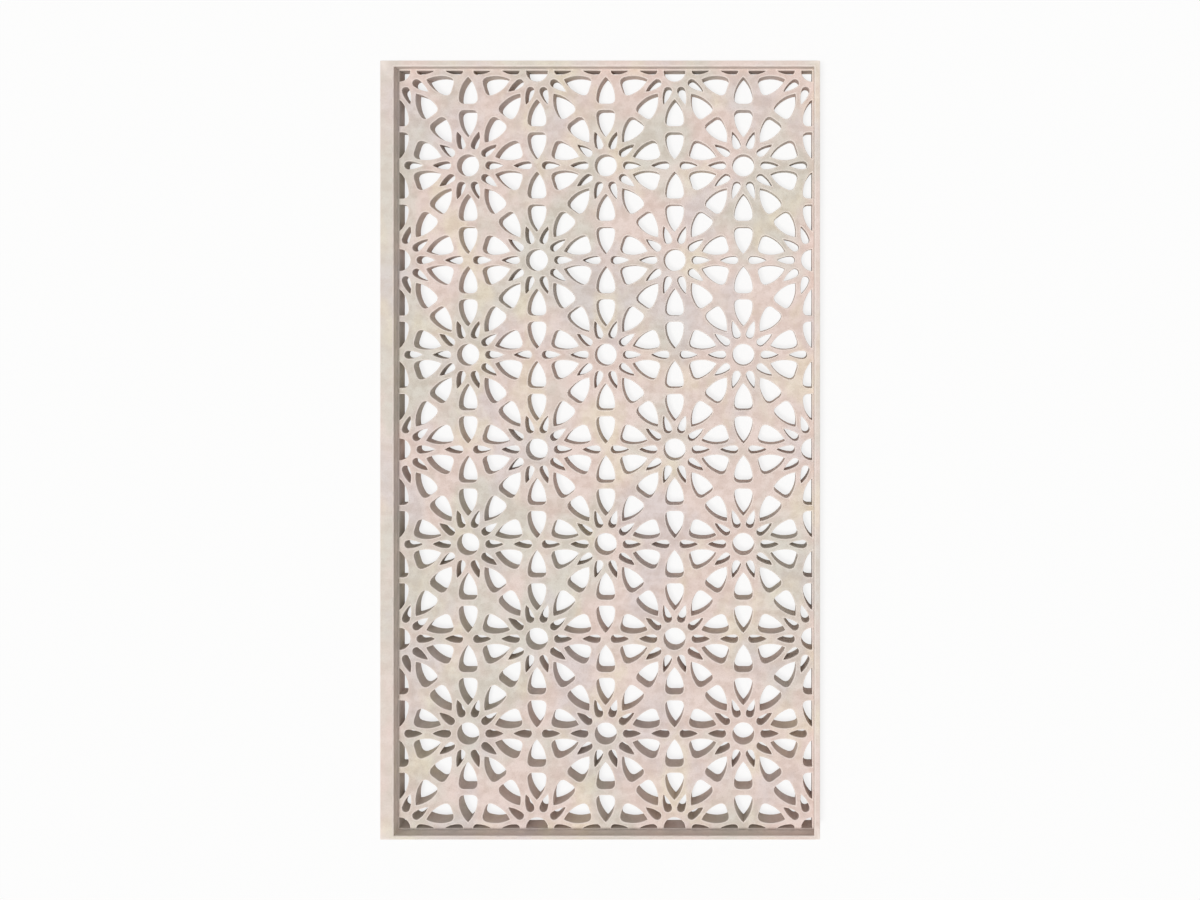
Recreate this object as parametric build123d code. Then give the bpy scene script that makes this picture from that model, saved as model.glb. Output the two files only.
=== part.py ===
from build123d import *
import math
import os

# Pierced stone screen panel, carved from one slab. A sunk lattice of ten-petalled rosettes
# lies inside a raised rim, and the back is flat. The rosettes stand on a rhombic grid with
# angles of 72 and 108 degrees, so that neighbours share a straight bar, and a knot of two
# petals and two buds fills each waist between them. The panel lies on its back: X runs
# across it, Y up it and Z out of its face, with the origin in the middle of the back face.
# Lengths are in millimetres.

# The grid of rosettes
rosette_pitch = 243.0
petals_per_rosette = 10
periods_across = 3
periods_up = 4

# Petals, which point at the rosette's centre and end in a flat with cut corners
bar_width = 13.0
petal_length = 56.0
petal_width = 38.5
petal_shoulder = 10.5
petal_corner = 8.0

# The hole in the middle of each rosette, its collar, and the buds between the petals' tips
centre_hole_radius = 23.0
collar_width = 13.0
bud_length = 38.0
bud_width = 16.5
bud_end_width = 8.5
bud_shoulder = 6.0

# The knot between two rosettes of one row, whose buds stand back to back
knot_bud_gap = 21.0

# The slab and its rim
lattice_thickness = 30.0
rim_height = 20.0
rim_inner_chamfer = 3.0
rim_outer_chamfer = 1.5
pattern_margin = 3.0
left_stile_width = 28.0
right_stile_width = 12.0
top_rail_width = 12.5
bottom_rail_width = 8.0

# Sizes that follow from the ones above
petal_step = 360 / petals_per_rosette
column_step = rosette_pitch * math.sin(math.radians(petal_step))
row_step = rosette_pitch * math.cos(math.radians(petal_step))
petal_end_reach = (rosette_pitch - bar_width) / 2
bud_reach = centre_hole_radius + collar_width
knot_bud_reach = knot_bud_gap / 2
knot_petal_end_reach = row_step - petal_end_reach - bar_width
pattern_width = 2 * periods_across * column_step
pattern_height = 2 * periods_up * row_step
opening_width = pattern_width + 2 * pattern_margin
opening_height = pattern_height + 2 * pattern_margin
panel_width = left_stile_width + opening_width + right_stile_width
panel_height = bottom_rail_width + opening_height + top_rail_width
panel_thickness = lattice_thickness + rim_height
opening_x = (left_stile_width - right_stile_width) / 2
opening_y = (bottom_rail_width - top_rail_width) / 2


def mirrored_outline(upper_points):
    """The face inside an outline whose upper half, from tip to end, is given."""
    lower_points = [(x, -y) for x, y in reversed(upper_points) if y > 0]
    return Face(Wire.make_polygon([*upper_points, *lower_points], close=True))


def petal(end_reach):
    """A pointed arch along +X, its tip towards the origin and its flat end at end_reach.

    Each side is an arc that leaves the shoulder parallel to X, drawn as two straight facets.
    """
    half_width = petal_width / 2
    shoulder_x = end_reach - petal_shoulder
    side_run = petal_length - petal_shoulder
    side_radius = (side_run**2 + half_width**2) / petal_width
    half_sweep = math.asin(side_run / side_radius) / 2
    side_x = shoulder_x - side_radius * math.sin(half_sweep)
    side_y = half_width - side_radius * (1 - math.cos(half_sweep))
    tip = (end_reach - petal_length, 0)
    shoulder = (shoulder_x, half_width)
    corner = (end_reach, half_width - petal_corner)
    return mirrored_outline([tip, (side_x, side_y), shoulder, corner])


def bud(reach):
    """A drop along +X: its blunt end lies at reach and its tip points away from the origin."""
    tip = (reach + bud_length, 0)
    shoulder = (reach + bud_shoulder, bud_width / 2)
    corner = (reach, bud_end_width / 2)
    return mirrored_outline([tip, shoulder, corner])


def rosette():
    """The holes of one rosette about the origin, with petals pointing up and down the panel."""
    holes = [RegularPolygon(centre_hole_radius, petals_per_rosette).face()]
    for index in range(petals_per_rosette):
        holes.append(Rot(0, 0, 90 + index * petal_step) * petal(petal_end_reach))
        holes.append(Rot(0, 0, 90 + (index + 0.5) * petal_step) * bud(bud_reach))
    return holes


def knot():
    """The holes at the waist between two rosettes of one row."""
    holes = [Rot(0, 0, angle) * petal(knot_petal_end_reach) for angle in (90, 270)]
    holes += [Rot(0, 0, angle) * bud(knot_bud_reach) for angle in (0, 180)]
    return holes


def fit_to_window(hole, half_width, half_height):
    """The hole itself, its inner half where it straddles the pattern's edge, or None outside."""
    touch = 1e-3
    box = hole.bounding_box()
    middle = box.center()
    if abs(middle.X) > half_width + touch or abs(middle.Y) > half_height + touch:
        return None
    reach_x = max(box.max.X, -box.min.X)
    reach_y = max(box.max.Y, -box.min.Y)
    if reach_x > half_width or reach_y > half_height:
        return (hole & Rectangle(2 * half_width, 2 * half_height).face()).face()
    return hole


def pattern_holes():
    """Every hole of the lattice, about the middle of the pattern."""
    motifs = {1: rosette(), 0: knot()}
    holes = []
    for column in range(-periods_across, periods_across + 1):
        for row in range(-periods_up, periods_up + 1):
            spot = Pos(column * column_step, row * row_step)
            for hole in motifs[(column + row) % 2]:
                holes.append(fit_to_window(spot * hole, pattern_width / 2, pattern_height / 2))
    return [hole for hole in holes if hole]


def lattice():
    """The pierced slab under the rim, as one extrusion of its outline with all its holes."""
    outline = Rectangle(panel_width, panel_height).face().outer_wire()
    shift = Pos(opening_x, opening_y)
    cut_outs = [(shift * hole).outer_wire() for hole in pattern_holes()]
    return extrude(Face(outline, cut_outs), lattice_thickness, dir=(0, 0, 1))


def rim():
    """The raised border, with its inner and outer edges taken off."""
    opening = Pos(opening_x, opening_y) * Rectangle(opening_width, opening_height)
    border = Rectangle(panel_width, panel_height) - opening
    raised = Pos(0, 0, lattice_thickness) * extrude(border, rim_height)
    top = raised.faces().sort_by(Axis.Z)[-1]
    raised = chamfer(top.inner_wires()[0].edges(), rim_inner_chamfer)
    top = raised.faces().sort_by(Axis.Z)[-1]
    return chamfer(top.outer_wire().edges(), rim_outer_chamfer)


def panel():
    """The whole slab in one piece."""
    return lattice() + rim()


os.makedirs("parts", exist_ok=True)
screen = panel()
export_step(screen, "parts/screen_panel.step")
print(f"panel {panel_width:.1f} x {panel_height:.1f} x {panel_thickness:.1f} mm")
print(f"pattern {pattern_width:.1f} x {pattern_height:.1f} mm, {len(pattern_holes())} holes")
print(f"volume {screen.volume / 1e6:.3f} litres, {len(screen.solids())} solid")
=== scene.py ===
import math

import bmesh
import bpy
from bpy.props import FloatProperty, FloatVectorProperty, IntProperty, PointerProperty
from mathutils import Matrix, Vector, noise


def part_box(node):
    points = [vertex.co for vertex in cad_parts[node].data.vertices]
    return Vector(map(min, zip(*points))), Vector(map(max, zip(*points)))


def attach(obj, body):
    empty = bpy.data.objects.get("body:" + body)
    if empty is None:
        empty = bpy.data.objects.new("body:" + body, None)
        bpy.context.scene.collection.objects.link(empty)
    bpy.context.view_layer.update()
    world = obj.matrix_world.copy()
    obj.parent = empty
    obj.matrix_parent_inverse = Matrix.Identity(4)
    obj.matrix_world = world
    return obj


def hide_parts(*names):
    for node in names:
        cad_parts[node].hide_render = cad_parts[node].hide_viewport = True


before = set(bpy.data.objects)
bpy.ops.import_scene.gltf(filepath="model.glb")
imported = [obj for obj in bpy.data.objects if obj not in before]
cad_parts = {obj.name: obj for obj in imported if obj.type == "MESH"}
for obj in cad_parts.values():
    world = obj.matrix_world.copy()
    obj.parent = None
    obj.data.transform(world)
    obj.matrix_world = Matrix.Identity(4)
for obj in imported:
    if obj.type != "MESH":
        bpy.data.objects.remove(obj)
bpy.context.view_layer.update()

bl_info = {
    "name": "Pierced stone screen panel",
    "version": (1, 0, 0),
    "blender": (4, 5, 0),
    "location": "View3D > Sidebar > Screen Panel",
    "description": "Carves a stone lattice panel over its CAD frame and lights it in a pale studio",
    "category": "Add Mesh",
}

panel_low, panel_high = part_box("screen_panel")

# Material indices of faces, and how near two points lie when they count as one
STONE = 0
HOLE = 1
TOUCH = 1e-5

# The angle between two petals, and how many reach into a quarter of a period
PETAL_STEP = math.radians(36)
PETALS_IN_QUARTER = 3

# Facets of each arc
PETAL_SIDE_STEPS = 6
PETAL_CORNER_STEPS = 3
BUD_SIDE_STEPS = 4
BUD_END_STEPS = 4
MIDDLE_HOLE_STEPS = 24
INNER_ARRIS_STEPS = 3
OUTER_ARRIS_STEPS = 2

# How far the stone is painted pale, from 0 to 1: rubbed wear and a painted highlight on the hole edges and
# the rim
BAND_WEAR_AND_HIGHLIGHT = 0.55
EDGE_WEAR_AND_HIGHLIGHT = 1.0
WALL_WEAR_AND_HIGHLIGHT = 0.0
RIM_WEAR_AND_HIGHLIGHT = 0.22

# The wander of the carved walls, what counts as an arris, and what counts as a sharp edge
DRIFT_SEED = 5
DRIFTS_PER_METRE = 40
ARRIS_SLOPES = (0.25, 0.97)
CORNER_TURN = 1.0
SHARP_TURN = math.radians(50)

# Sockets of a node that mixes colours
MIX_SHARE = 0
MIX_BELOW = 6
MIX_ABOVE = 7
MIX_RESULT = 2

# The sandstone's fields: where their nodes stand, and how densely the flecks lie
FIELD_X = -1600
TEXTURE_X = -1420
FLECKS_PER_GRAIN = 0.42

# The studio
WHITE = (1, 1, 1, 1)
FLOOR_REACH = 20
FLOOR_GAP = 0.0004
SENSOR_WIDTH = 36


def length(name, description, default):
    """A size in metres."""
    return FloatProperty(
        name=name, description=description, default=default, min=0.0, precision=4,
        subtype="DISTANCE", unit="LENGTH",
    )


def angle(name, description, default, low, high):
    """An angle in radians."""
    return FloatProperty(
        name=name, description=description, default=default, min=low, max=high,
        subtype="ANGLE", unit="ROTATION",
    )


def tone(name, description, default):
    """A colour of the stone or the studio, in linear values."""
    return FloatVectorProperty(
        name=name, description=description, default=default, min=0.0, max=1.0, size=3, subtype="COLOR",
    )


def amount(name, description, default, top=1.0):
    """A plain number from nothing to its top."""
    return FloatProperty(name=name, description=description, default=default, min=0.0, max=top)


class LatticeSizes(bpy.types.PropertyGroup):
    """The pierced pattern of rosettes and knots."""
    rosette_pitch: length("Rosette pitch", "Between the middles of two neighbouring rosettes", 0.243)
    bar_width: length("Bar width", "Of the bar that two neighbouring rosettes share", 0.013)
    petal_length: length("Petal length", "From a petal's tip to its flat end", 0.056)
    petal_width: length("Petal width", "Across a petal at its shoulders", 0.0385)
    petal_corner: length("Petal corner", "Radius at the two corners of a petal's flat end", 0.0098)
    centre_hole_radius: length("Middle hole radius", "Of the hole in the middle of a rosette", 0.0227)
    collar_width: length("Collar width", "Between the middle hole and the buds", 0.013)
    bud_length: length("Bud length", "From a bud's blunt end to its tip", 0.038)
    bud_width: length("Bud width", "Across a bud near its blunt end", 0.0165)
    knot_bud_gap: length("Knot gap", "Between the two buds of a knot", 0.021)
    periods_across: IntProperty(name="Periods across", description="Rosettes side by side", default=3, min=1)
    periods_up: IntProperty(name="Periods up", description="Rosettes one above another", default=4, min=1)


class SlabSizes(bpy.types.PropertyGroup):
    """The slab round the pattern."""
    lattice_thickness: length("Lattice thickness", "Of the pierced part of the slab", 0.030)
    pattern_margin: length("Margin", "Plain strip between the pattern and the rim", 0.003)
    left_stile: length("Left stile", "Width of the rim on the left", 0.028)
    bottom_rail: length("Bottom rail", "Width of the rim at the bottom", 0.008)
    hole_arris: length("Hole arris", "Rounding of the edges of the holes", 0.0014)
    # The band round each hole is painted pale: rubbed wear and a painted highlight
    pale_band_width: length("Worn width", "Width of the rubbed band round each hole", 0.0015)
    rim_inner_arris: length("Inner arris", "Rounding of the rim's inner edge", 0.0030)
    rim_outer_arris: length("Outer arris", "Rounding of the slab's outer edges", 0.0015)
    unevenness: length("Unevenness", "How far the carved walls wander from their lines", 0.0004)


class SandstoneLook(bpy.types.PropertyGroup):
    """The colours and grain of the rubbed sandstone."""
    pink: tone("Pink bed", "Main colour of the stone", (0.800, 0.668, 0.618))
    grey: tone("Grey bed", "Cooler greenish grey beds", (0.675, 0.658, 0.585))
    lilac: tone("Lilac bed", "Faint lilac grey beds", (0.690, 0.628, 0.630))
    cream: tone("Cream bed", "Warm cream patches", (0.835, 0.755, 0.585))
    streak: tone("Streak", "Darkening along the beds", (0.70, 0.60, 0.53))
    mottle: tone("Mottle", "Darkening of the less rubbed patches", (0.74, 0.68, 0.63))
    grit: tone("Grit", "Darkening between the sand grains", (0.74, 0.70, 0.66))
    fleck: tone("Fleck", "Darkening of the scattered flecks", (0.46, 0.38, 0.33))
    # Painted shade: a darker colour laid on every upright face, the walls of the holes and the slab's sides
    painted_wall_shade: tone("Dust", "Dust on the rough walls of the holes", (0.600, 0.525, 0.465))
    # Paler colour on the hole edges and the rim: rubbed wear and a painted highlight
    worn_and_highlight: tone("Worn stone", "Paler stone where edges and the rim are rubbed", (0.905, 0.812, 0.748))
    grain_size: length("Grain size", "Of the sand grains that show on a face", 0.0016)
    grain_depth: length("Grain depth", "Relief of the grain, the rubbed faces and the tool marks", 0.0005)


class StudioSetup(bpy.types.PropertyGroup):
    """The floor, the light and the camera."""
    floor_tone: tone("Floor", "Colour of the plain floor", (0.86, 0.86, 0.85))
    floor_glow: amount("Floor glow", "How far the camera sees the floor as plain white", 0.80)
    sky_strength: amount("Sky strength", "Even light from all round", 0.45, 4.0)
    sun_strength: amount("Sun strength", "Soft light from above, a little from the lower left", 1.96, 10.0)
    sun_softness: angle("Sun softness", "Angle of the lamp's disc", 0.30, 0.0, 1.5)
    sun_height: angle("Sun height", "Angle of the lamp above the floor", 1.28, 0.2, 1.57)
    camera_spot: FloatVectorProperty(name="Camera place", description="Where the camera hangs, in metres",
                                     default=(0.320, 0.308, 1.780), size=3, subtype="TRANSLATION")
    lens: FloatProperty(name="Lens", description="Focal length in millimetres", default=25.3, min=5.0)
    shift_x: FloatProperty(name="Shift across", description="Camera shift across the frame", default=-0.130)
    shift_y: FloatProperty(name="Shift up", description="Camera shift up the frame", default=-0.125)


def finished_mesh(bm, name):
    """Turns a bmesh into mesh data and frees it."""
    mesh = bpy.data.meshes.new(name)
    bm.to_mesh(mesh)
    bm.free()
    return mesh


def add_copy(bm, mesh, place):
    """Adds a placed copy of a mesh to the bmesh."""
    before = len(bm.verts)
    bm.from_mesh(mesh)
    bm.verts.ensure_lookup_table()
    bmesh.ops.transform(bm, matrix=place, space=Matrix.Identity(4), verts=bm.verts[before:])


def pointed_hole(long, wide, corner, allowance, side_steps, corner_steps):
    """Returns a mesh with one face: a pointed arch with its end on x = 0 and its tip on the -X side.

    Its outline lies outside the real one by the allowance, the room that the pale band and the rounded edge
    take.
    """
    half = wide / 2
    side_radius = ((long - corner) ** 2 + half**2) / wide
    sweep = math.acos((side_radius - half) / (side_radius + allowance))
    bm = bmesh.new()
    shoulder = bm.verts.new((-corner, half + allowance, 0))
    bmesh.ops.spin(bm, geom=[shoulder], cent=(-corner, half - side_radius, 0), axis=(0, 0, 1),
                   angle=sweep, steps=side_steps)
    bmesh.ops.spin(bm, geom=[shoulder], cent=(-corner, half - corner, 0), axis=(0, 0, 1),
                   angle=-math.pi / 2, steps=corner_steps)
    bmesh.ops.mirror(bm, geom=bm.verts[:] + bm.edges[:], matrix=Matrix.Identity(4),
                     merge_dist=TOUCH, axis="Y")
    open_ends = [vert for vert in bm.verts if len(vert.link_edges) == 1]
    if len(open_ends) == 2:
        bm.edges.new(open_ends)
    bmesh.ops.contextual_create(bm, geom=bm.edges[:])
    return finished_mesh(bm, "hole outline")


def round_hole(radius, steps):
    """Returns a mesh with one round face about the origin."""
    bm = bmesh.new()
    bmesh.ops.create_circle(bm, cap_ends=True, radius=radius, segments=steps)
    return finished_mesh(bm, "hole outline")


def steps_of(sizes):
    """Half a period of the pattern, across and up."""
    return sizes.rosette_pitch * math.sin(PETAL_STEP), sizes.rosette_pitch * math.cos(PETAL_STEP)


def add_hole_faces(bm, sizes, allowance):
    """Adds the faces of all holes that reach into the quarter cell.

    A rosette stands at the cell's origin and at its far corner, and a knot at the other two.
    """
    step_x, step_y = steps_of(sizes)
    petal = pointed_hole(sizes.petal_length, sizes.petal_width, sizes.petal_corner, allowance,
                         PETAL_SIDE_STEPS, PETAL_CORNER_STEPS)
    bud = pointed_hole(sizes.bud_length, sizes.bud_width, sizes.bud_width / 2, allowance,
                       BUD_SIDE_STEPS, BUD_END_STEPS)
    middle = round_hole(sizes.centre_hole_radius + allowance, MIDDLE_HOLE_STEPS)
    petal_reach = (sizes.rosette_pitch - sizes.bar_width) / 2
    bud_reach = sizes.centre_hole_radius + sizes.collar_width
    knot_petal_reach = step_y - petal_reach - sizes.bar_width
    turned = Matrix.Rotation(math.pi, 4, "Z")
    for spot, heading in (((0, 0, 0), 0), ((step_x, step_y, 0), math.pi)):
        base = Matrix.Translation(spot) @ Matrix.Rotation(heading, 4, "Z")
        add_copy(bm, middle, base)
        for index in range(PETALS_IN_QUARTER):
            aim = base @ Matrix.Rotation(math.pi / 2 - index * PETAL_STEP, 4, "Z")
            add_copy(bm, petal, aim @ Matrix.Translation((petal_reach, 0, 0)))
            aim = base @ Matrix.Rotation(index * PETAL_STEP, 4, "Z")
            add_copy(bm, bud, aim @ Matrix.Translation((bud_reach, 0, 0)) @ turned)
    for spot, heading in (((step_x, 0, 0), math.pi / 2), ((0, step_y, 0), -math.pi / 2)):
        aim = Matrix.Translation(spot) @ Matrix.Rotation(heading, 4, "Z")
        add_copy(bm, petal, aim @ Matrix.Translation((knot_petal_reach, 0, 0)))
        aim = aim @ Matrix.Rotation(math.pi / 2, 4, "Z")
        add_copy(bm, bud, aim @ Matrix.Translation((sizes.knot_bud_gap / 2, 0, 0)) @ turned)
    for mesh in (petal, bud, middle):
        bpy.data.meshes.remove(mesh)
    for face in bm.faces:
        face.material_index = HOLE


def clip_to_cell(bm, step_x, step_y):
    """Cuts away what lies outside the quarter cell."""
    for spot, outward in (((0, 0, 0), (-1, 0, 0)), ((0, 0, 0), (0, -1, 0)),
                          ((step_x, 0, 0), (1, 0, 0)), ((0, step_y, 0), (0, 1, 0))):
        bmesh.ops.bisect_plane(bm, geom=bm.verts[:] + bm.edges[:] + bm.faces[:], dist=TOUCH,
                               plane_co=spot, plane_no=outward, clear_outer=True)


def fill_stone(bm, step_x, step_y):
    """Closes the cell's four sides between the holes and fills the stone between them."""
    for corner in ((0, 0, 0), (step_x, 0, 0), (step_x, step_y, 0), (0, step_y, 0)):
        if not any((vert.co - Vector(corner)).length < TOUCH for vert in bm.verts):
            bm.verts.new(corner)
    hole_sides = set()
    for axis, place in ((0, 0), (0, step_x), (1, 0), (1, step_y)):
        line = [vert for vert in bm.verts if abs(vert.co[axis] - place) < TOUCH]
        line.sort(key=lambda vert: vert.co[1 - axis])
        for pair in zip(line, line[1:]):
            side = bm.edges.get(pair)
            if side:
                hole_sides.add(side)
            else:
                bm.edges.new(pair)
    outline = [edge for edge in bm.edges if edge not in hole_sides]
    bmesh.ops.triangle_fill(bm, use_beauty=True, use_dissolve=False, edges=outline, normal=(0, 0, 1))


def one_period(sizes, allowance):
    """Returns one period of the pattern as a mesh, mirrored out of its quarter cell."""
    step_x, step_y = steps_of(sizes)
    bm = bmesh.new()
    add_hole_faces(bm, sizes, allowance)
    clip_to_cell(bm, step_x, step_y)
    fill_stone(bm, step_x, step_y)
    for axis in "XY":
        bmesh.ops.mirror(bm, geom=bm.verts[:] + bm.edges[:] + bm.faces[:], matrix=Matrix.Identity(4),
                         merge_dist=TOUCH, axis=axis)
    return finished_mesh(bm, "one period")


def all_periods(sizes, allowance):
    """Returns a bmesh of the whole flat pattern, its sides carried outwards by the allowance."""
    step_x, step_y = steps_of(sizes)
    period = one_period(sizes, allowance)
    bm = bmesh.new()
    for column in range(sizes.periods_across):
        for row in range(sizes.periods_up):
            x = (2 * column - sizes.periods_across + 1) * step_x
            y = (2 * row - sizes.periods_up + 1) * step_y
            add_copy(bm, period, Matrix.Translation((x, y, 0)))
    bpy.data.meshes.remove(period)
    bmesh.ops.remove_doubles(bm, verts=bm.verts[:], dist=TOUCH)
    bm.normal_update()
    bmesh.ops.reverse_faces(bm, faces=[face for face in bm.faces if face.normal.z < 0])
    for axis, reach in enumerate((sizes.periods_across * step_x, sizes.periods_up * step_y)):
        stretch = Vector((1, 1, 1))
        stretch[axis] += allowance / reach
        side = [vert for vert in bm.verts if abs(abs(vert.co[axis]) - reach) < TOUCH]
        bmesh.ops.scale(bm, vec=stretch, verts=side)
    return bm


def pierced_sheet(sizes, arris, band):
    """Returns the pattern as a flat mesh: its front at z = 0, the holes open, their edges rounded.

    A narrow flat band round each hole carries the paleness, of wear and painted highlight, that fades away
    from its edge.
    """
    bm = all_periods(sizes, arris + band)
    paleness = bm.verts.layers.float.new("edge_wear_and_highlight")
    holes = [face for face in bm.faces if face.material_index == HOLE]
    far = arris * math.sin(math.pi / 4)
    near = arris - far
    # Each ring: how far in, how far down, and how pale it is painted, with rubbed wear and a painted
    # highlight
    for inward, downward, rubbed in ((band, 0, BAND_WEAR_AND_HIGHLIGHT), (far, near, EDGE_WEAR_AND_HIGHLIGHT), (near, far, WALL_WEAR_AND_HIGHLIGHT)):
        ring = bmesh.ops.inset_region(bm, faces=holes, use_boundary=True, use_even_offset=True,
                                      thickness=inward, depth=-downward)
        for face in ring["faces"]:
            face.material_index = STONE
        for vert in {vert for face in holes for vert in face.verts}:
            vert[paleness] = rubbed
    bmesh.ops.delete(bm, geom=holes, context="FACES")
    return finished_mesh(bm, "pierced sheet")


def slab_rectangles(lattice, slab):
    """Returns the rectangles that the surface runs through, from the lattice over the rim to the back.

    Each is its middle, with its height as z, and its two sides. In order they are the pattern and
    the opening in front, the rim's inner and outer edges, the outline behind and the pattern behind.
    """
    step_x, step_y = steps_of(lattice)
    edging = slab.hole_arris + slab.pale_band_width
    if edging > slab.pattern_margin:
        raise ValueError("the margin is narrower than the worn edge of the holes beside it")
    across = 2 * lattice.periods_across * step_x
    up = 2 * lattice.periods_up * step_y
    pattern = (across + 2 * edging, up + 2 * edging)
    opening = (across + 2 * slab.pattern_margin, up + 2 * slab.pattern_margin)
    outline = (panel_high.x - panel_low.x, panel_high.y - panel_low.y)
    centre = Vector((panel_low.x + slab.left_stile + opening[0] / 2,
                     panel_low.y + slab.bottom_rail + opening[1] / 2, 0))
    middle = (panel_low + panel_high) / 2
    outer = Vector((middle.x, middle.y, 0))
    at_front = Vector((0, 0, slab.lattice_thickness))
    at_top = Vector((0, 0, panel_high.z))
    return [
        (centre + at_front, *pattern),
        (centre + at_front, *opening),
        (centre + at_top, *opening),
        (outer + at_top, *outline),
        (outer, *outline),
        (centre, *pattern),
    ]


def next_loop(bm, edges, old, new):
    """Extrudes a rectangular loop of edges, and carries the copy from one rectangle to another."""
    made = bmesh.ops.extrude_edge_only(bm, edges=edges)["geom"]
    old_middle, old_width, old_height = old
    new_middle, new_width, new_height = new
    stretch = Matrix.Diagonal((new_width / old_width, new_height / old_height, 1, 1))
    move = Matrix.Translation(new_middle) @ stretch @ Matrix.Translation(-old_middle)
    bmesh.ops.transform(bm, matrix=move, space=Matrix.Identity(4),
                        verts=[part for part in made if isinstance(part, bmesh.types.BMVert)])
    return [part for part in made if isinstance(part, bmesh.types.BMEdge) and part.is_boundary]


def closed_slab(lattice, slab, rectangles):
    """Returns a bmesh of both faces of the lattice, the walls of its holes and the rim round it."""
    arris = slab.hole_arris
    front = slab.lattice_thickness
    front_middle = rectangles[0][0]
    back_middle = rectangles[-1][0]
    sheet = pierced_sheet(lattice, arris, slab.pale_band_width)
    bm = bmesh.new()
    add_copy(bm, sheet, Matrix.Translation(front_middle))
    edges = [edge for edge in bm.edges if edge.is_boundary]
    border = [edge for edge in edges if all(vert.co.z > front - TOUCH for vert in edge.verts)]
    kept = set(border)
    walls = bmesh.ops.extrude_edge_only(bm, edges=[edge for edge in edges if edge not in kept])["geom"]
    bmesh.ops.translate(bm, vec=(0, 0, 2 * arris - front),
                        verts=[part for part in walls if isinstance(part, bmesh.types.BMVert)])
    add_copy(bm, sheet, Matrix.Translation(back_middle) @ Matrix.Scale(-1, 4, (0, 0, 1)))
    bpy.data.meshes.remove(sheet)
    for old, new in zip(rectangles, rectangles[1:]):
        border = next_loop(bm, border, old, new)
    bmesh.ops.remove_doubles(bm, verts=bm.verts[:], dist=TOUCH)
    bmesh.ops.recalc_face_normals(bm, faces=bm.faces[:])
    if any(len(edge.link_faces) != 2 for edge in bm.edges):
        raise RuntimeError("the carved panel has an open seam")
    return bm


def on_rectangle(vert, rectangle):
    """Whether a vertex lies on the outline of a rectangle, at its height."""
    middle, width, height = rectangle
    x = abs(vert.co.x - middle.x)
    y = abs(vert.co.y - middle.y)
    inside = x < width / 2 + TOUCH and y < height / 2 + TOUCH
    touching = abs(x - width / 2) < TOUCH or abs(y - height / 2) < TOUCH
    return inside and touching and abs(vert.co.z - middle.z) < TOUCH


def round_over(bm, edges, radius, steps):
    """Rounds a set of edges."""
    bmesh.ops.bevel(bm, geom=edges, offset=radius, offset_type="OFFSET", segments=steps, profile=0.5,
                    affect="EDGES", material=-1, clamp_overlap=True)


def round_rim(bm, rectangles, slab):
    """Rounds the rim's inner edge, and then the outer edges of the slab."""
    inner_top, outer_top, outer_back = rectangles[2:5]
    inside = [edge for edge in bm.edges if all(on_rectangle(vert, inner_top) for vert in edge.verts)]
    round_over(bm, inside, slab.rim_inner_arris, INNER_ARRIS_STEPS)
    outside = [edge for edge in bm.edges
               if all(on_rectangle(vert, outer_top) or on_rectangle(vert, outer_back) for vert in edge.verts)
               and edge.calc_face_angle(0) > CORNER_TURN]
    round_over(bm, outside, slab.rim_outer_arris, OUTER_ARRIS_STEPS)


def wander_and_paint_pale(bm, opening, slab):
    """Lets the lattice's lines wander inside the rim, and paints the rim and its edges pale: rubbed wear and
    a painted highlight.
    """
    centre, width, height = opening
    half_x = width / 2 - TOUCH
    half_y = height / 2 - TOUCH
    steepest, flattest = ARRIS_SLOPES
    noise.seed_set(DRIFT_SEED)
    bm.normal_update()
    paleness = bm.verts.layers.float["edge_wear_and_highlight"]
    for vert in bm.verts:
        if abs(vert.co.x - centre.x) < half_x and abs(vert.co.y - centre.y) < half_y:
            drift = noise.noise_vector(vert.co * DRIFTS_PER_METRE) * slab.unevenness
            drift.z = 0
            vert.co += drift
        # Arris vertices and the rim's face are painted pale: rubbed wear and a painted highlight
        elif steepest < abs(vert.normal.z) < flattest:
            vert[paleness] = EDGE_WEAR_AND_HIGHLIGHT
        elif vert.co.z > panel_high.z - TOUCH:
            vert[paleness] = RIM_WEAR_AND_HIGHLIGHT


def carve_panel(lattice, slab):
    """Returns the finished mesh of the panel, in the frame of its CAD node."""
    rectangles = slab_rectangles(lattice, slab)
    bm = closed_slab(lattice, slab, rectangles)
    round_rim(bm, rectangles, slab)
    wander_and_paint_pale(bm, rectangles[1], slab)
    for face in bm.faces:
        face.smooth = True
        face.material_index = STONE
    return finished_mesh(bm, "carved_panel")


def emptied_tree(owner):
    """Turns on the nodes of a material or a world, clears them and returns their tree."""
    owner.use_nodes = True
    owner.node_tree.nodes.clear()
    return owner.node_tree


def put(tree, kind, x, y, inputs, **settings):
    """Adds a node at a place in the layout, with its settings and its inputs.

    An input is either another node's output, which is linked to it, or a plain value.
    """
    node = tree.nodes.new(kind)
    node.location = (x, y)
    for name, value in settings.items():
        setattr(node, name, value)
    for name, value in inputs.items():
        if isinstance(value, bpy.types.NodeSocket):
            tree.links.new(value, node.inputs[name])
        else:
            node.inputs[name].default_value = value
    return node


def calculate(tree, operation, x, y, *values):
    """Adds a Math node on outputs or plain numbers, and returns its own output."""
    return put(tree, "ShaderNodeMath", x, y, dict(enumerate(values)), operation=operation).outputs[0]


def noise_field(tree, place, y, scale, detail, offset=(0, 0, 0), stretch=(1, 1, 1), turn=0.0):
    """Adds a noise texture of its own scale, place and direction, and returns its value."""
    mapping = put(tree, "ShaderNodeMapping", FIELD_X, y,
                  {"Vector": place, "Location": offset, "Rotation": (0, 0, turn), "Scale": stretch})
    field = put(tree, "ShaderNodeTexNoise", TEXTURE_X, y,
                {"Vector": mapping.outputs["Vector"], "Scale": scale, "Detail": detail})
    return field.outputs["Fac"]


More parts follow.
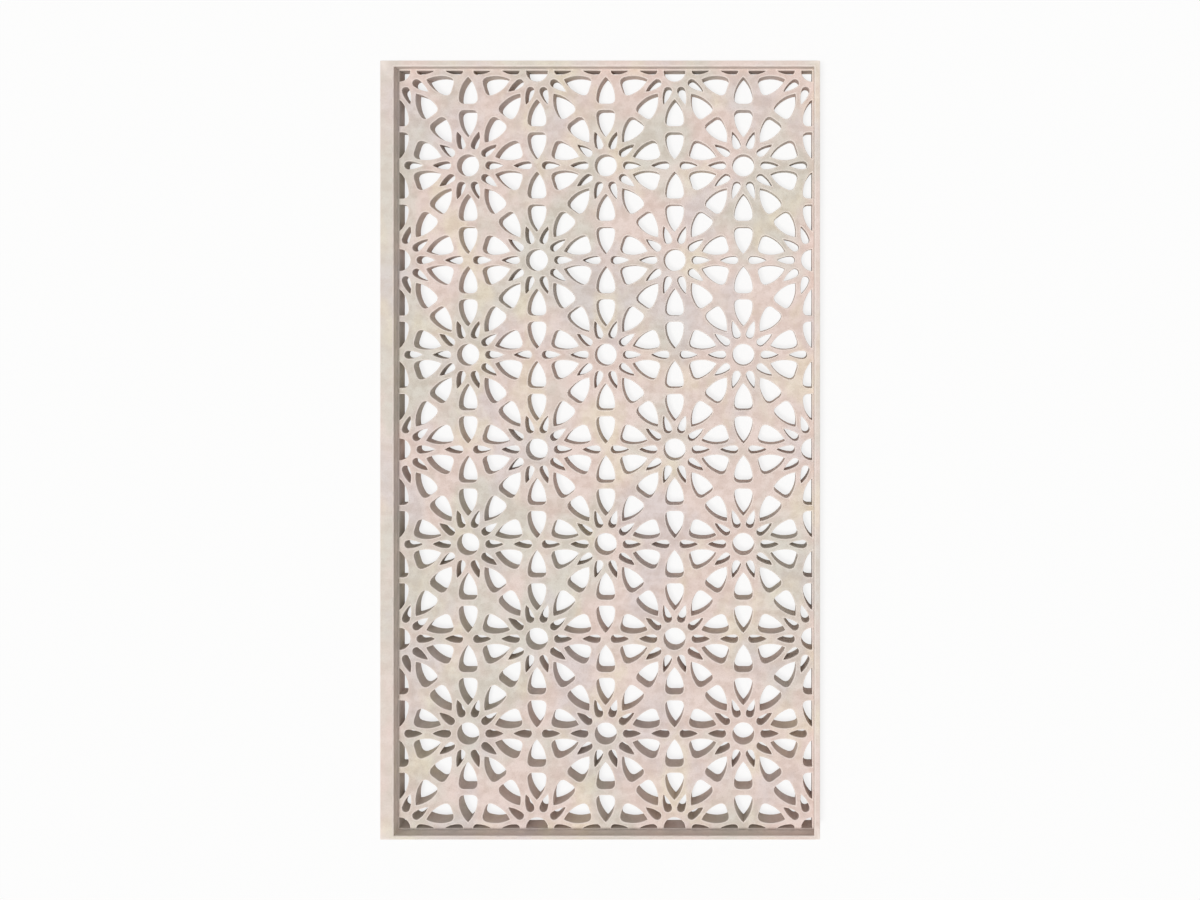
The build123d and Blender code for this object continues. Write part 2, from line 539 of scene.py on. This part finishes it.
def spread(tree, value, x, y, low, high, low_value=0.0, high_value=1.0):
    """Adds a smooth map from a range of one value to a range of another, and returns the result."""
    node = put(tree, "ShaderNodeMapRange", x, y,
               {"Value": value, "From Min": low, "From Max": high, "To Min": low_value,
                "To Max": high_value}, interpolation_type="SMOOTHSTEP")
    return node.outputs[0]


def tint(tree, x, y, below, share, above, blend="MIX"):
    """Lays a share of a colour over the one below it, and returns the result."""
    node = put(tree, "ShaderNodeMix", x, y,
               {MIX_SHARE: share, MIX_BELOW: below, MIX_ABOVE: (*above, 1)},
               data_type="RGBA", blend_type=blend)
    return node.outputs[MIX_RESULT]


def layered_stone(tree, place, grain, rubbed, look):
    """Returns the stone's colour: soft beds, streaks, mottling, sand grain and flecks."""
    beds = noise_field(tree, place, 500, 1.0, 4, (3.1, 1.7, 0.4), (7.0, 5.0, 6.0), 0.5)
    lilac = noise_field(tree, place, 750, 1.0, 4, (8.3, 5.7, 3.4), (9.0, 6.0, 7.0), 0.2)
    cream = noise_field(tree, place, 250, 1.0, 5, (0.6, 4.2, 2.0), (11.0, 7.0, 8.0), 0.9)
    streaks = noise_field(tree, place, 0, 1.0, 5, (1.0, 0.0, 7.0), (5.0, 42.0, 20.0), 0.35)
    flecks = put(tree, "ShaderNodeTexVoronoi", TEXTURE_X, -750,
                 {"Vector": place, "Scale": FLECKS_PER_GRAIN / look.grain_size}, feature="F1")
    # Each layer: its field, where it starts and is full, its strength, its colour and its blend
    layers = (
        (beds, 0.42, 0.64, 0.80, look.grey, "MIX"),
        (lilac, 0.48, 0.66, 0.60, look.lilac, "MIX"),
        (cream, 0.52, 0.70, 0.55, look.cream, "MIX"),
        (streaks, 0.35, 0.70, 0.24, look.streak, "MULTIPLY"),
        (rubbed, 0.40, 0.62, 0.34, look.mottle, "MULTIPLY"),
        (grain, 0.38, 0.66, 0.30, look.grit, "MULTIPLY"),
        (flecks.outputs["Distance"], 0.24, 0.10, 0.30, look.fleck, "MULTIPLY"),
    )
    colour = (*look.pink, 1)
    for index, (field, start, full, strength, above, blend) in enumerate(layers):
        share = spread(tree, field, -1200, 750 - 250 * index, start, full, 0.0, strength)
        colour = tint(tree, -1000 + 150 * index, 600, colour, share, above, blend)
    return colour


def wall_share(tree):
    """Returns how far a face is an upright wall, at the strength of its painted shade and tool marks."""
    surface = put(tree, "ShaderNodeNewGeometry", -1800, -1000, {})
    parts = put(tree, "ShaderNodeSeparateXYZ", -1600, -1000, {"Vector": surface.outputs["Normal"]})
    flatness = calculate(tree, "ABSOLUTE", -1400, -1000, parts.outputs["Z"])
    return spread(tree, flatness, -1200, -1000, 0.75, 0.25, 0.0, 0.20)


def worn_and_highlight_share(tree, rubbed):
    """Returns how far the stone is painted pale, in patches along the edges and on the rim: rubbed wear and
    a painted highlight.
    """
    edge = put(tree, "ShaderNodeAttribute", -1600, -1250, {}, attribute_name="edge_wear_and_highlight",
               attribute_type="GEOMETRY")
    patches = spread(tree, rubbed, -1200, -1250, 0.30, 0.60, 0.25, 0.85)
    return calculate(tree, "MULTIPLY", -1000, -1250, edge.outputs["Fac"], patches)


def carved_relief(tree, place, grain, rubbed, wall, look):
    """Returns the relief of the grain and the rubbed faces, with tool marks on the walls."""
    marks = put(tree, "ShaderNodeTexWave", TEXTURE_X, -1500,
                {"Vector": place, "Scale": 95.0, "Distortion": 5.0, "Detail": 2.0, "Detail Scale": 1.4},
                wave_type="BANDS", bands_direction="Z", wave_profile="SIN")
    tooled = calculate(tree, "MULTIPLY", -1000, -1500, marks.outputs["Fac"], wall)
    faces = calculate(tree, "ADD", -800, -1400, grain, rubbed)
    height = calculate(tree, "ADD", -600, -1400, faces, tooled)
    bump = put(tree, "ShaderNodeBump", 200, -600,
               {"Height": height, "Strength": 0.55, "Distance": look.grain_depth})
    return bump.outputs["Normal"]


def sandstone(look):
    """The rubbed sandstone: soft beds of colour, sand grain, edges paler with wear and a painted highlight,
    and walls darker with painted shade.
    """
    material = bpy.data.materials.new("sandstone")
    tree = emptied_tree(material)
    place = put(tree, "ShaderNodeTexCoord", -1800, 0, {}).outputs["Object"]
    grain = noise_field(tree, place, -250, 1.0 / look.grain_size, 2)
    rubbed = noise_field(tree, place, -500, 55.0, 3, (2.0, 9.0, 1.0))
    wall = wall_share(tree)
    colour = layered_stone(tree, place, grain, rubbed, look)
    # Painted shade: upright walls darkened
    colour = tint(tree, 50, 400, colour, wall, look.painted_wall_shade)
    # Painted highlight with rubbed wear: paler edges and rim
    colour = tint(tree, 200, 360, colour, worn_and_highlight_share(tree, rubbed), look.worn_and_highlight)
    shader = put(tree, "ShaderNodeBsdfPrincipled", 450, 300, {
        "Base Color": colour,
        "Roughness": spread(tree, grain, 200, -100, 0.3, 0.7, 0.74, 0.94),
        "Normal": carved_relief(tree, place, grain, rubbed, wall, look),
        "Specular IOR Level": 0.22,
        "Metallic": 0.0,
    })
    put(tree, "ShaderNodeOutputMaterial", 750, 300, {"Surface": shader.outputs["BSDF"]})
    return material


def seen_directly(tree, x, y):
    """Returns a value of 1 for rays that come from the camera, also through gloss or glass."""
    rays = put(tree, "ShaderNodeLightPath", x, y, {}).outputs
    plain = calculate(tree, "MAXIMUM", x + 200, y, rays["Is Camera Ray"], rays["Is Glossy Ray"])
    return calculate(tree, "MAXIMUM", x + 400, y, plain, rays["Is Transmission Ray"])


def pale_floor(studio):
    """The floor's material: it keeps the panel's shadow under an even white."""
    material = bpy.data.materials.new("pale_floor")
    tree = emptied_tree(material)
    matt = put(tree, "ShaderNodeBsdfDiffuse", 0, 0, {"Color": (*studio.floor_tone, 1)})
    white = put(tree, "ShaderNodeEmission", 0, -200, {"Color": WHITE})
    share = calculate(tree, "MULTIPLY", 0, 200, seen_directly(tree, -700, 200), studio.floor_glow)
    mixed = put(tree, "ShaderNodeMixShader", 250, 0, {0: share, 1: matt.outputs[0], 2: white.outputs[0]})
    put(tree, "ShaderNodeOutputMaterial", 500, 0, {"Surface": mixed.outputs[0]})
    return material


def lay_floor(scene, studio):
    """Lays the plain floor just under the panel's back."""
    bm = bmesh.new()
    bmesh.ops.create_grid(bm, x_segments=1, y_segments=1, size=FLOOR_REACH)
    bmesh.ops.translate(bm, vec=(0, 0, panel_low.z - FLOOR_GAP), verts=bm.verts[:])
    floor = bpy.data.objects.new("studio_floor", finished_mesh(bm, "studio_floor"))
    floor.data.materials.append(pale_floor(studio))
    scene.collection.objects.link(floor)


def light_sky(scene, studio):
    """Lights the scene evenly from all round, under a sky that the camera sees as plain white."""
    world = bpy.data.worlds.new("studio_sky")
    tree = emptied_tree(world)
    strength = calculate(tree, "MULTIPLY_ADD", 0, 0, seen_directly(tree, -700, 0),
                         1 - studio.sky_strength, studio.sky_strength)
    sky = put(tree, "ShaderNodeBackground", 200, 0, {"Color": WHITE, "Strength": strength})
    put(tree, "ShaderNodeOutputWorld", 400, 0, {"Surface": sky.outputs["Background"]})
    scene.world = world


def hang_lamp(scene, studio):
    """Hangs the soft lamp high up, a little towards the lower left of the panel."""
    lamp = bpy.data.lights.new("soft_key", "SUN")
    lamp.energy = studio.sun_strength
    lamp.angle = studio.sun_softness
    key = bpy.data.objects.new("soft_key", lamp)
    flat = math.cos(studio.sun_height) / math.sqrt(2)
    towards = Vector((flat, flat, -math.sin(studio.sun_height)))
    key.rotation_euler = towards.to_track_quat("-Z", "Y").to_euler()
    scene.collection.objects.link(key)


def hang_camera(scene, studio):
    """Hangs the camera over the panel, looking straight down."""
    camera = bpy.data.objects.new("camera", bpy.data.cameras.new("camera"))
    camera.data.lens = studio.lens
    camera.data.sensor_width = SENSOR_WIDTH
    camera.data.shift_x = studio.shift_x
    camera.data.shift_y = studio.shift_y
    camera.data.clip_start = 0.05
    camera.data.clip_end = 60
    camera.location = studio.camera_spot
    scene.collection.objects.link(camera)
    scene.camera = camera


class SCREENPANEL_OT_carve(bpy.types.Operator):
    """Carve the pierced stone panel over its CAD node"""
    bl_idname = "screenpanel.carve"
    bl_label = "Carve Panel"
    bl_options = {"REGISTER", "UNDO"}

    def execute(self, context):
        scene = context.scene
        mesh = carve_panel(scene.screenpanel_lattice, scene.screenpanel_slab)
        mesh.materials.append(sandstone(scene.screenpanel_sandstone))
        mesh.set_sharp_from_angle(angle=SHARP_TURN)
        piece = bpy.data.objects.new("carved_panel", mesh)
        scene.collection.objects.link(piece)
        shading = piece.modifiers.new("Even shading", "WEIGHTED_NORMAL")
        shading.keep_sharp = True
        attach(piece, "root")
        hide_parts("screen_panel")
        return {"FINISHED"}


class SCREENPANEL_OT_studio(bpy.types.Operator):
    """Set up the pale floor, the soft light and the camera above the panel"""
    bl_idname = "screenpanel.studio"
    bl_label = "Set Up Studio"
    bl_options = {"REGISTER", "UNDO"}

    def execute(self, context):
        scene = context.scene
        studio = scene.screenpanel_studio
        lay_floor(scene, studio)
        light_sky(scene, studio)
        hang_lamp(scene, studio)
        hang_camera(scene, studio)
        scene.view_settings.view_transform = "Standard"
        return {"FINISHED"}


class SCREENPANEL_PT_sidebar(bpy.types.Panel):
    """The panel's sizes and looks in the sidebar of the 3D view"""
    bl_idname = "SCREENPANEL_PT_sidebar"
    bl_label = "Screen Panel"
    bl_space_type = "VIEW_3D"
    bl_region_type = "UI"
    bl_category = "Screen Panel"

    def draw(self, context):
        for group, place in GROUPS.items():
            box = self.layout.box()
            settings = getattr(context.scene, place)
            for name in group.__annotations__:
                box.prop(settings, name)
        self.layout.operator("screenpanel.carve")
        self.layout.operator("screenpanel.studio")


GROUPS = {
    LatticeSizes: "screenpanel_lattice",
    SlabSizes: "screenpanel_slab",
    SandstoneLook: "screenpanel_sandstone",
    StudioSetup: "screenpanel_studio",
}
CLASSES = (*GROUPS, SCREENPANEL_OT_carve, SCREENPANEL_OT_studio, SCREENPANEL_PT_sidebar)


def register():
    for item in CLASSES:
        bpy.utils.register_class(item)
    for group, name in GROUPS.items():
        setattr(bpy.types.Scene, name, PointerProperty(type=group))


def unregister():
    for name in GROUPS.values():
        delattr(bpy.types.Scene, name)
    for item in reversed(CLASSES):
        bpy.utils.unregister_class(item)


def main():
    register()
    bpy.ops.screenpanel.carve()
    bpy.ops.screenpanel.studio()
    bpy.context.view_layer.update()


if __name__ == "__main__":
    main()
